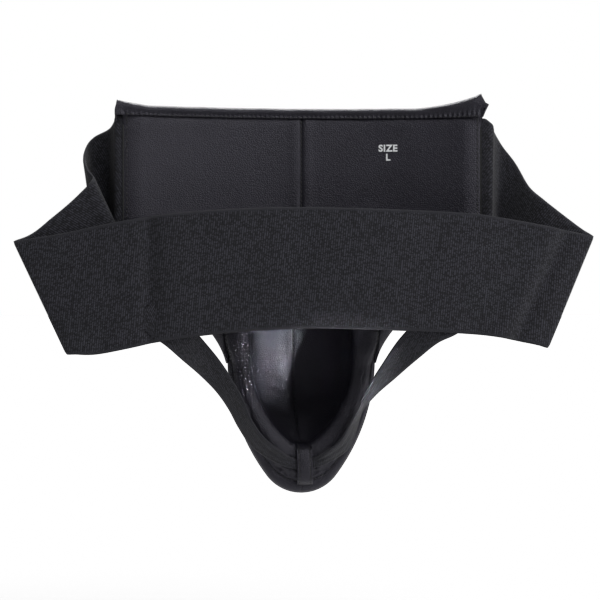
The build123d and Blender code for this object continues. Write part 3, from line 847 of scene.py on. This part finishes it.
class GUARD_OT_rim(bpy.types.Operator):
    """Add the padded rim: leather rolled from the lining's edge to the cover's lip, and its stitches"""

    bl_idname = "guard.rim"
    bl_label = "Rim"

    def execute(self, context):
        outer, inner = rim_edge(*RIM_OUTER), rim_edge(*RIM_INNER)
        flare = 5.5 * MM * ease((outer[:, 1] - LEG_TIP + 6 * MM) / (30 * MM))
        outer[:, 0] += np.sign(outer[:, 0]) * flare
        along = distances(outer)
        from_end = np.minimum(along, along[-1] - along)
        crest = (RIM_SEAT - RIM_CREST) * ease(0.25 + from_end / (34 * MM))
        turn = np.linspace(0, math.pi, 33)
        lean = (1 - np.cos(turn)) / 2
        bulge = np.sin(turn) ** 0.75
        height = crest[:, None] * bulge
        waves = ripple(along[:, None] / (15 * MM), lean[None] * 1.2, 21)
        pucker = np.sin(along * 2 * math.pi / (7.4 * MM))[:, None] * bump_at(lean - 0.08, 0.12)
        height = height + (0.45 * MM * waves + 0.4 * MM * pucker) * bulge
        # Near the tip the leather is gathered: two long folds along the rim and small pleats across it.
        tip_side = bump_at(along - along[-1] / 2, 95 * MM)[:, None]
        wander = 0.09 * ripple(along[:, None] / (24 * MM), 0 * lean[None], 31)
        folds = bump_at(lean[None] - 0.16 - wander, 0.05) + 0.8 * bump_at(lean[None] - 0.36 + wander, 0.05)
        phase = along[:, None] * math.pi / (8.5 * MM) + 2.4 * ripple(along[:, None] / (19 * MM), lean[None] * 2, 33)
        pleats = (1 - np.abs(np.sin(phase))) ** 3 * ease((0.75 - lean[None]) / 0.4)
        height = height - (1.9 * MM * folds + 1.1 * MM * pleats) * tip_side * bulge
        flat = outer[:, None] * (1 - lean[None, :, None]) + inner[:, None] * lean[None, :, None]
        pad_y = PAD_AXIS + np.sqrt(PAD_BEND**2 - flat[..., 0] ** 2)
        on_pad = ease((flat[..., 1] - LEG_TIP + 4 * MM) / (14 * MM))
        seat = np.minimum(RIM_SEAT, RIM_SEAT + on_pad * (pad_y - 0.2 * MM - RIM_SEAT))
        top = np.stack([flat[..., 0], seat - height, flat[..., 1]], axis=-1)
        base = np.stack([flat[..., 0], seat + 0.6 * MM, flat[..., 1]], axis=-1)
        piece = sheet_piece("rim_leather", top, base, material("leather"))
        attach(piece, GUARD)
        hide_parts("rim_cover", "rim_roll_foam")
        row = top[:, 3] + np.array([0, -0.25, 0]) * MM
        away = np.tile([0.0, -1.0, 0.0], (len(row), 1))
        piece = stitches("rim_stitches", row, away)
        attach(piece, GUARD)
        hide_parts("rim_thread")
        return {"FINISHED"}


class GUARD_OT_keeper(bpy.types.Operator):
    """Add the leather keeper that bridges the leg strap at the cup's tip, with its stitches"""

    bl_idname = "guard.keeper"
    bl_label = "Strap keeper"

    def execute(self, context):
        box_low, box_high = low("keeper_loop"), high("keeper_loop")
        half = (box_high[0] - box_low[0]) / 2 - 0.4 * MM
        top_z, low_z = box_high[2], box_low[2]
        face = box_low[1]
        knots = np.array([
            (PAD_FACE + 2 * MM, top_z + 1.5 * MM), (face + 7.0 * MM, top_z), (face + 2.0 * MM, top_z - 3.5 * MM),
            (face + 0.2 * MM, top_z - 10 * MM), (face, (top_z + low_z) / 2), (face + 0.6 * MM, low_z + 9 * MM),
            (face + 3.0 * MM, low_z + 3.5 * MM), (face + 7.5 * MM, low_z + 0.8 * MM), (RIM_SEAT, low_z + 0.5 * MM),
        ])
        path = curve_through(knots, distances(knots), np.linspace(0, distances(knots)[-1], 70))
        across = np.linspace(-1, 1, 21)
        slope = np.gradient(path, axis=0)
        out = np.stack([slope[:, 1], -slope[:, 0]], axis=1)
        out /= np.linalg.norm(out, axis=1, keepdims=True)
        crown = 0.5 * MM * (1 - across**2) - 0.35 * MM * bump_at(np.abs(across) - 0.72, 0.1)
        crown = crown[None, :, None]
        share = np.linspace(0, 1, len(path))
        middle_x = (1.0 + 1.8 * share) * MM
        spread = half * (1 - 0.08 * np.sin(share * math.pi))[:, None] * across
        spine = path[:, None] + out[:, None] * crown
        front = np.stack([middle_x[:, None] + spread, spine[..., 0], spine[..., 1]], axis=-1)
        inward = path[:, None] - out[:, None] * 1.5 * MM + 0 * crown
        back = np.stack([middle_x[:, None] + spread, inward[..., 0], inward[..., 1]], axis=-1)
        piece = sheet_piece("keeper_leather", front, back, material("leather"))
        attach(piece, GUARD)
        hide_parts("keeper_loop")
        rows = []
        for name, column in (("a", 3), ("b", 17)):
            away = np.stack([0 * out[:, 0], out[:, 0], out[:, 1]], axis=1)
            row = front[8:-6, column] + 0.1 * MM * away[8:-6]
            rows.append(stitches("keeper_row_" + name, row, away[8:-6], pitch=3.0 * MM))
        piece = join("keeper_stitches", rows)
        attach(piece, GUARD)
        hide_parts("keeper_thread")
        return {"FINISHED"}


# ---------------------------------------------------------------- waistband
def rear_y(x):
    """The middle surface of the rear run: a shallow bend, deepest in the middle."""
    return REAR_FRONT + x**2 / (2 * 2400 * MM)


def band_stations():
    """The waistband's edges, top and bottom, from the left side seam round the rear to the right one.
    Beside each seam the strip stands off the pad and turns back on itself before it runs to the fold."""
    left = np.array([
        (136.0, 1.6, 50.5, 136.0, 1.6, -46.5), (142.0, 0.7, 53.0, 142.0, 0.7, -46.5),
        (146.0, 0.7, 53.5, 146.5, 0.7, -46.5), (148.5, 11.0, 49.5, 148.5, 9.0, -48.0),
        (153.5, 24.0, 44.5, 153.0, 20.0, -52.0), (166.0, 27.0, 38.0, 160.0, 21.0, -60.0),
        (172.5, 15.0, 24.5, 161.0, 12.0, -70.0), (169.5, 1.0, 11.0, 146.0, -3.0, -76.0),
        (165.0, -7.0, 4.0, 126.0, -9.5, -78.0), (166.0, -11.0, 1.5, 124.0, -13.0, -80.0),
        (176.0, -14.0, -9.5, 136.0, -17.0, -90.0), (195.5, -18.5, -27.0, 158.0, -23.0, -109.0),
        (216.0, -23.0, -42.5, 178.0, -28.0, -128.5),
    ])
    right = np.array([
        (136.0, 1.6, 50.5, 136.0, 1.6, -46.5), (142.0, 0.5, 53.0, 142.0, 0.5, -46.5),
        (145.5, -1.5, 52.5, 145.5, -1.5, -46.5), (149.0, -2.5, 49.5, 148.0, -3.0, -47.0),
        (153.0, 8.0, 43.5, 151.0, 6.0, -49.0), (159.5, 17.0, 35.5, 155.0, 14.0, -55.0),
        (170.5, 14.0, 20.5, 160.0, 10.0, -70.0), (181.0, 1.0, -1.5, 166.0, -3.0, -88.0),
        (191.0, -11.0, -12.5, 172.0, -16.0, -104.0), (208.5, -18.5, -27.5, 181.0, -23.0, -117.0),
        (219.0, -23.0, -36.0, 186.0, -27.5, -123.5),
    ])
    top = np.array([
        (-224.5, -45.9), (-189.5, -40.4), (-145, -31.1), (-96, -23.9), (-41, -20.4), (0, -19.6),
        (60, -20.8), (121, -23.3), (148, -26.4), (187, -33.2), (226.0, -41.0),
    ]) * MM
    bottom = np.array([
        (-183.5, -132.5), (-163, -133.0), (-138, -128.5), (-113, -123.2), (-68, -117.2), (-10, -113.4),
        (31, -113.6), (93, -115.6), (140, -118.6), (168, -123.5), (189.0, -128.0),
    ]) * MM
    share = np.linspace(0, 1, len(top))
    samples = np.linspace(0, 1, 31)
    top, bottom = curve_through(top, share, samples), curve_through(bottom, share, samples)
    rear = np.stack([
        top[:, 0], rear_y(top[:, 0]), top[:, 1], bottom[:, 0], rear_y(bottom[:, 0]), bottom[:, 1],
    ], axis=1)
    mirror = np.array([-1.0, 1.0, 1.0, -1.0, 1.0, 1.0])
    fold = np.array([0.0, 1.6, 0.0, 0.0, 1.6, 0.0]) * MM
    return np.concatenate([left * MM * mirror, [rear[0] + fold], rear[1:-1], [rear[-1] + fold], right[::-1] * MM])


def band_relief(grid):
    """How far the rear run's surface stands back: soft dents across the strip, strongest in its middle."""
    x, z = grid[..., 0], grid[..., 2]
    on_rear = ease((REAR_FRONT + 14 * MM - grid[..., 1]) / (4 * MM))
    slanted = (x - 199 * MM) - (z + 52 * MM) * (36.0 / 74.0)
    back = 3.6 * MM * bump_at(x + 121 * MM, 7 * MM) + 0.9 * MM * bump_at(x + 4 * MM, 12 * MM)
    back = back + 3.4 * MM * bump_at(slanted, 7 * MM) - 2.0 * MM * bump_at(slanted + 15 * MM, 9 * MM)
    back = back - 1.2 * MM * bump_at(x + 100 * MM, 14 * MM) + 1.0 * MM * bump_at(x - 92 * MM, 18 * MM)
    return on_rear * (back + 0.7 * MM * ripple(x / (70 * MM), z / (90 * MM), 31))


class GUARD_OT_waistband(bpy.types.Operator):
    """Add the waistband: one ribbed elastic strip from side seam to side seam, folded flat at both sides"""

    bl_idname = "guard.waistband"
    bl_label = "Waistband"

    def execute(self, context):
        stations = band_stations()
        middle = (stations[:, :3] + stations[:, 3:]) / 2
        places = distances(middle)
        samples = np.linspace(0, places[-1], 480)
        edges = curve_through(stations, places, samples)
        across = np.linspace(-1, 1, 41)
        share = (1 - across)[None, :, None] / 2
        grid = edges[:, None, :3] * (1 - share) + edges[:, None, 3:] * share
        grid[..., 1] += band_relief(grid)
        along = distances(grid)
        start = along[np.argmin(np.abs(edges[:, 0]) + (np.abs(edges[:, 1] - REAR_FRONT) > 9 * MM))]
        uv = np.stack([along - start, np.broadcast_to(across * BAND_HALF, along.shape)], axis=-1)
        half_thick = BAND_THICK / 2 * (1 - 0.45 * bump_at(np.abs(across) - 1, 0.03))[None, :, None]
        facing = normals(grid)
        piece = sheet_piece(
            "waistband_strip", grid + facing * half_thick, grid - facing * half_thick,
            material("elastic"), uv,
        )
        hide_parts("waistband_elastic")
        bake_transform(piece)
        return {"FINISHED"}


# ---------------------------------------------------------------- leg strap
def strap_stations():
    """The leg strap's inner and outer edges, from its left sewn end through the keeper to the right one.
    It lies flat on the rear run, leaves it downwards, turns on its edge over the rim and gathers in the keeper."""
    left = np.array([
        (-115.0, -34.6, -89.0, -133.0, -33.6, -107.0), (-102.5, -34.8, -101.0, -121.0, -33.8, -117.5),
        (-87.0, -33.0, -114.5, -108.5, -32.5, -126.0), (-76.5, -23.0, -126.0, -96.0, -24.0, -137.0),
        (-66.0, -18.0, -139.5, -80.5, -8.0, -150.5), (-55.5, -13.0, -155.5, -67.5, 0.5, -164.0),
        (-47.5, -9.0, -170.5, -57.5, 8.6, -178.5), (-41.5, -8.0, -185.0, -50.0, 9.6, -192.5),
        (-32.5, -5.0, -198.0, -40.0, 9.6, -207.0), (-18.0, 0.5, -210.0, -22.0, 9.3, -219.5),
        (-6.5, 8.2, -217.0, -7.5, 9.3, -225.0),
    ])
    right = np.array([
        (113.0, -34.6, -89.0, 131.0, -33.6, -107.0), (100.0, -34.8, -100.0, 117.0, -33.8, -117.5),
        (85.5, -32.0, -109.0, 103.5, -31.0, -124.0), (74.5, -23.0, -121.0, 89.0, -21.0, -136.5),
        (61.5, -19.0, -141.0, 72.0, -7.5, -152.5), (50.0, -15.5, -160.5, 57.0, 0.5, -166.5),
        (42.0, -12.0, -177.5, 48.0, 7.0, -178.5), (35.5, -9.0, -190.0, 43.0, 8.6, -194.0),
        (29.0, -5.0, -202.0, 37.0, 9.6, -209.0), (17.5, 0.5, -211.5, 22.0, 9.2, -219.5),
        (9.5, 8.0, -216.5, 10.0, 9.2, -224.5),
    ])
    keeper = np.array([(1.8, 8.2, -218.0, 1.5, 9.3, -226.0)])
    return np.concatenate([left, keeper, right[::-1]]) * MM


class GUARD_OT_leg_strap(bpy.types.Operator):
    """Add the elastic leg strap: one strip from the rear run down through the keeper and up again"""

    bl_idname = "guard.leg_strap"
    bl_label = "Leg strap"

    def execute(self, context):
        stations = strap_stations()
        places = distances((stations[:, :3] + stations[:, 3:]) / 2)
        samples = np.linspace(0, places[-1], 300)
        edges = curve_through(stations, places, samples)
        across = np.linspace(-1, 1, 19)
        share = (1 + across)[None, :, None] / 2
        grid = edges[:, None, :3] * (1 - share) + edges[:, None, 3:] * share
        facing = normals(grid)
        facing *= -np.sign(facing[:, 9:10, 1:2])
        width = np.linalg.norm(edges[:, :3] - edges[:, 3:], axis=1)
        slack = np.clip(1 - width / (25 * MM), 0, 0.6)
        gather = 0.35 * MM * slack[:, None] * np.sin(across * 2.5 * math.pi)[None, :]
        grid = grid + facing * gather[..., None]
        along = distances(grid)
        uv = np.stack([along - along[len(along) // 2], np.broadcast_to(across * 12.5 * MM, along.shape)], axis=-1)
        thick = 0.85 * MM * (1 - 0.4 * bump_at(np.abs(across) - 1, 0.08))[None, :, None]
        piece = sheet_piece(
            "leg_strap_strip", grid + facing * thick, grid - facing * thick,
            material("strap"), uv,
        )
        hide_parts("leg_strap_lower", "leg_strap_left", "leg_strap_right")
        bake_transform(piece)
        for name, side in SIDES:
            rows = np.arange(3, 26) if side < 0 else np.arange(len(grid) - 26, len(grid) - 3)
            low_row, high_row = grid[rows, 3], grid[rows, -4]
            ring = np.concatenate([low_row, grid[rows[-1], 3:-3], high_row[::-1], grid[rows[0], -4:2:-1]])
            away = np.tile([0.0, 1.0, 0.0], (len(ring), 1))
            piece = stitches(f"strap_tack_{name}_stitches", ring + 1.0 * MM * away, away, pitch=2.6 * MM)
            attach(piece, BAND)
            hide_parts(f"strap_tack_{name}")
        return {"FINISHED"}


# ---------------------------------------------------------------- stitching and the mark
FRONT_STITCH_INSET = 6.5 * MM
CUP_STITCH_OFFSET = 3.2 * MM


def front_edge_row(side):
    """A row inside the front cover's edge: down the side at the inset from it, then along the lower edge.
    Each line of the cover's grid is met where its distance from the lower edge equals the inset."""
    inset = FRONT_STITCH_INSET
    grid = pad_grid(1.0, side)
    sides = [[np.interp(PAD_HALF - inset, side * line[:, 0], line[:, i]) for i in (1, 2)] for line in grid]
    down = np.array([(side * (PAD_HALF - inset), y, z) for y, z in sides[::-1]])
    down = down[(down[:, 2] < PAD_TOP - 8 * MM) & (down[:, 2] > -38 * MM)]
    lengths = np.linalg.norm(grid[-1] - grid[0], axis=1)
    place = np.arccos(1 - 2 * np.clip(inset / lengths, 0, 1)) / math.pi * (len(grid) - 1)
    step = place.astype(int)
    part = (place - step)[:, None]
    columns = np.arange(grid.shape[1])
    lower = grid[step, columns] * (1 - part) + grid[step + 1, columns] * part
    lower = lower[46:][::-1]
    lower = lower[np.abs(lower[:, 0]) < PAD_HALF - inset - 2 * MM]
    return np.concatenate([down, lower])


def cup_seam_row(side):
    """A row beside the cup's front seam, and the outward direction along it: the outline's radius, less
    the offset by Pythagoras, carried down the front of the cup."""
    outline = cup_outline(0.0, 0.0)
    outline = outline[outline[:, 0] > 9 * MM]
    across = np.full(len(outline), CUP_STITCH_OFFSET)
    reach = np.sqrt(outline[:, 0] ** 2 - across**2) + 0.55 * MM
    row = np.stack([side * across, PAD_FACE + reach, outline[:, 1]], axis=1)
    row = row[np.concatenate([[True], np.linalg.norm(np.diff(row, axis=0), axis=1) > 0.05 * MM])]
    away = np.stack([0 * across, outline[:, 0], outline[:, 1] + 150 * MM], axis=1)[: len(row)]
    return row, away


class GUARD_OT_stitching(bpy.types.Operator):
    """Add the rows of stitches on both faces of the pad and beside the cup's seams"""

    bl_idname = "guard.stitching"
    bl_label = "Stitching"

    def execute(self, context):
        wearer = np.array([0.0, -1.0, 0.0])
        x = np.linspace(-PAD_HALF + 2 * MM, PAD_HALF - 2 * MM, 200)
        row = pad_place(x, np.full(200, PAD_TOP - 1.5 * MM), np.full(200, -1.25 * MM))
        piece = stitches("binding_stitches", row, np.tile(wearer, (200, 1)))
        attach(piece, GUARD)
        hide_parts("top_binding_thread")
        z = np.linspace(CUP_TOP + 2 * MM, PAD_TOP - 4 * MM, 60)
        row = pad_place(np.zeros(60), z, np.full(60, 0.55 * MM))
        piece = stitches("pad_centre_stitches", row, np.tile(wearer, (60, 1)))
        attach(piece, GUARD)
        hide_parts("pad_centre_thread")
        front = np.array([0.0, 1.0, 0.0])
        x = np.linspace(-PAD_HALF + 12 * MM, PAD_HALF - 12 * MM, 200)
        row = pad_place(x, np.full(200, PAD_TOP - 4.6 * MM), np.full(200, 16.05 * MM))
        piece = stitches("binding_front_stitches", row, np.tile(front, (200, 1)))
        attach(piece, GUARD)
        for name, side in SIDES:
            row = front_edge_row(side) + 0.25 * MM * front
            piece = stitches(f"front_edge_{name}_stitches", row, np.tile(front, (len(row), 1)))
            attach(piece, GUARD)
            piece = stitches(f"cup_seam_{name}_stitches", *cup_seam_row(side))
            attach(piece, GUARD)
            z = np.linspace(-BAND_HALF, PAD_TOP - 4 * MM, 60)
            row = pad_place(np.full(60, side * (PAD_HALF - 3.2 * MM)), z, np.full(60, 3.0 * MM))
            piece = stitches(f"side_{name}_stitches", row, np.tile(wearer, (60, 1)))
            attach(piece, GUARD)
            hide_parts(f"side_thread_{name}")
        seam = cup_outline(CUP_WALL, CUP_TIP_PADDING)
        seam = seam[(seam[:, 1] < CUP_DOME + 20 * MM) & (seam[:, 0] > 16 * MM)]
        reach = seam[:, 0] + 0.1 * MM
        turn = LINING_SEAM_TURN
        row = np.stack([-reach * math.sin(turn), PAD_FACE + reach * math.cos(turn), seam[:, 1]], axis=1)
        piece = stitches("cup_centre_stitches", row, np.tile(wearer, (len(row), 1)))
        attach(piece, GUARD)
        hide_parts("cup_centre_thread")
        return {"FINISHED"}


class GUARD_OT_size_mark(bpy.types.Operator):
    """Add the printed size mark on the lining's right half"""

    bl_idname = "guard.size_mark"
    bl_label = "Size mark"

    def execute(self, context):
        box_low, box_high = low("size_mark"), high("size_mark")
        middle = (box_low + box_high) / 2
        points, faces = [], []
        for words, height, drop in (("SIZE", 5.2 * MM, -1.0 * MM), ("L", 5.2 * MM, -8.2 * MM)):
            text = bpy.data.curves.new("words", "FONT")
            text.body = words
            text.align_x = "CENTER"
            text.size = height / 0.7
            text.offset = 0.25 * MM
            text.space_character = 1.1
            letters = bpy.data.objects.new("words", text)
            bpy.context.scene.collection.objects.link(letters)
            mesh = bpy.data.meshes.new_from_object(letters.evaluated_get(context.evaluated_depsgraph_get()))
            flat = np.array([v.co[:2] for v in mesh.vertices])
            first = sum(len(part) for part in points)
            faces += [[first + corner for corner in face.vertices] for face in mesh.polygons]
            points.append(flat + np.array([0.0, drop]))
            bpy.data.objects.remove(letters)
            bpy.data.meshes.remove(mesh)
        flat = np.concatenate(points)
        x, z = middle[0] + flat[:, 0], middle[2] + 1.6 * MM + flat[:, 1]
        place = pad_place(x, z, np.full(len(x), -0.45 * MM))
        mesh = bpy.data.meshes.new("size_letters")
        mesh.from_pydata(place.tolist(), [], faces)
        mesh.materials.append(material("mark"))
        piece = bpy.data.objects.new("size_letters", mesh)
        bpy.context.scene.collection.objects.link(piece)
        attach(piece, GUARD)
        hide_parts("size_mark")
        return {"FINISHED"}


class GUARD_OT_inner_parts(bpy.types.Operator):
    """Give the cup's shell, foams, facing and the sewn-in ends of the waistband their materials"""

    bl_idname = "guard.inner_parts"
    bl_label = "Inner parts"

    def execute(self, context):
        looks = {
            "cup_shell": "shell", "cup_bumper_foam": "foam", "cup_lining_foam": "foam",
            "rim_facing": "leather", "waistband_end_left": "cut_elastic", "waistband_end_right": "cut_elastic",
        }
        for node, look in looks.items():
            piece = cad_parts[node]
            piece.data.materials.clear()
            piece.data.materials.append(material(look))
        return {"FINISHED"}


# ---------------------------------------------------------------- stage
def aim(thing, target):
    """Turns a camera or light at the origin's side to face a point, with +Z up."""
    direction = thing.location - target
    thing.rotation_euler = direction.to_track_quat("Z", "Y").to_euler()


FLOOR_REACH = 40.0
FLOOR_DROP = 180 * MM


class GUARD_OT_stage(bpy.types.Operator):
    """Add the floor, the soft studio lights and the camera"""

    bl_idname = "guard.stage"
    bl_label = "Stage"

    def execute(self, context):
        scene = context.scene
        size = sizes()
        # A wide flat floor below the hanging guard. Only its shadows show against the white surroundings.
        floor_z = CUP_TIP - FLOOR_DROP
        reach = np.array([-FLOOR_REACH, FLOOR_REACH])
        grid = np.stack(np.broadcast_arrays(reach[None, :], reach[:, None], floor_z), axis=-1)
        mesh = bpy.data.meshes.new("studio_floor")
        mesh.from_pydata(grid.reshape(-1, 3).tolist(), [], quads(2, 2).tolist())
        mesh.materials.append(material("floor"))
        floor = bpy.data.objects.new("studio_floor", mesh)
        floor.is_shadow_catcher = True
        scene.collection.objects.link(floor)

        world = bpy.data.worlds.new("Studio")
        world.use_nodes = True
        background = world.node_tree.nodes["Background"]
        background.inputs["Color"].default_value = (1, 1, 1, 1)
        seen = add_node(world.node_tree, "ShaderNodeLightPath").outputs["Is Camera Ray"]
        strength = add_node(
            world.node_tree, "ShaderNodeMapRange", [("Value", seen), ("To Min", 0.055), ("To Max", 1.0)]
        )
        world.node_tree.links.new(strength.outputs["Result"], background.inputs["Strength"])
        scene.world = world

        target = Vector((-1.0 * MM, PAD_FACE, -91.2 * MM))
        lamps = (
            ("top_softbox", (0.4, -1.15, 1.15), target, 0.8, 15.0, 180),
            ("right_softbox", (1.3, -0.8, 0.3), target, 0.6, 9.0, 180),
            ("cup_softbox", (0.85, -1.1, -0.33), Vector((-0.03, 0.05, -0.132)), 0.05, 0.06, 2.2),
            ("left_softbox", (-1.3, -0.9, 0.2), target, 0.6, 1.2, 180),
            ("back_softbox", (0.1, 0.9, 1.3), target, 1.0, 30.0, 180),
        )
        for name, place, aimed_at, width, power, spread in lamps:
            light = bpy.data.lights.new(name, "AREA")
            light.shape = "SQUARE"
            light.size = width
            light.energy = power
            light.spread = math.radians(spread)
            lamp = bpy.data.objects.new(name, light)
            lamp.location = place
            aim(lamp, aimed_at)
            scene.collection.objects.link(lamp)

        lens = bpy.data.cameras.new("Camera")
        lens.lens = 36.0 * size.camera_distance / 0.48
        lens.sensor_width = 36.0
        lens.clip_start = 0.05
        camera = bpy.data.objects.new("Camera", lens)
        away = Vector((math.sin(size.camera_turn), -math.cos(size.camera_turn), 0)) * size.camera_distance
        camera.location = target + away
        aim(camera, target)
        scene.collection.objects.link(camera)
        scene.camera = camera
        scene.view_settings.view_transform = "Standard"
        return {"FINISHED"}


class GUARD_PT_panel(bpy.types.Panel):
    """Buttons for the guard's pieces, with its sizes and colours"""

    bl_idname = "GUARD_PT_panel"
    bl_label = "Groin Protector"
    bl_space_type = "VIEW_3D"
    bl_region_type = "UI"
    bl_category = "Guard"

    def draw(self, context):
        for operator in OPERATORS:
            self.layout.operator(operator.bl_idname)
        for group in (context.scene.guard_sizes, context.scene.guard_colours):
            box = self.layout.box()
            for name in group.bl_rna.properties.keys():
                if name not in ("rna_type", "name"):
                    box.prop(group, name)


OPERATORS = (
    GUARD_OT_pad, GUARD_OT_binding, GUARD_OT_cup, GUARD_OT_rim, GUARD_OT_keeper, GUARD_OT_waistband,
    GUARD_OT_leg_strap, GUARD_OT_stitching, GUARD_OT_size_mark, GUARD_OT_inner_parts, GUARD_OT_stage,
)
CLASSES = (GuardSizes, GuardColours, *OPERATORS, GUARD_PT_panel)


def register():
    """Registers the classes and puts both property groups on the scene."""
    for item in CLASSES:
        bpy.utils.register_class(item)
    bpy.types.Scene.guard_sizes = bpy.props.PointerProperty(type=GuardSizes)
    bpy.types.Scene.guard_colours = bpy.props.PointerProperty(type=GuardColours)


def unregister():
    """Takes the property groups and the classes away again."""
    del bpy.types.Scene.guard_colours
    del bpy.types.Scene.guard_sizes
    for item in reversed(CLASSES):
        bpy.utils.unregister_class(item)


def main():
    """Builds every piece in order."""
    register()
    for operator in OPERATORS:
        group, name = operator.bl_idname.split(".")
        getattr(getattr(bpy.ops, group), name)()


if __name__ == "__main__":
    main()
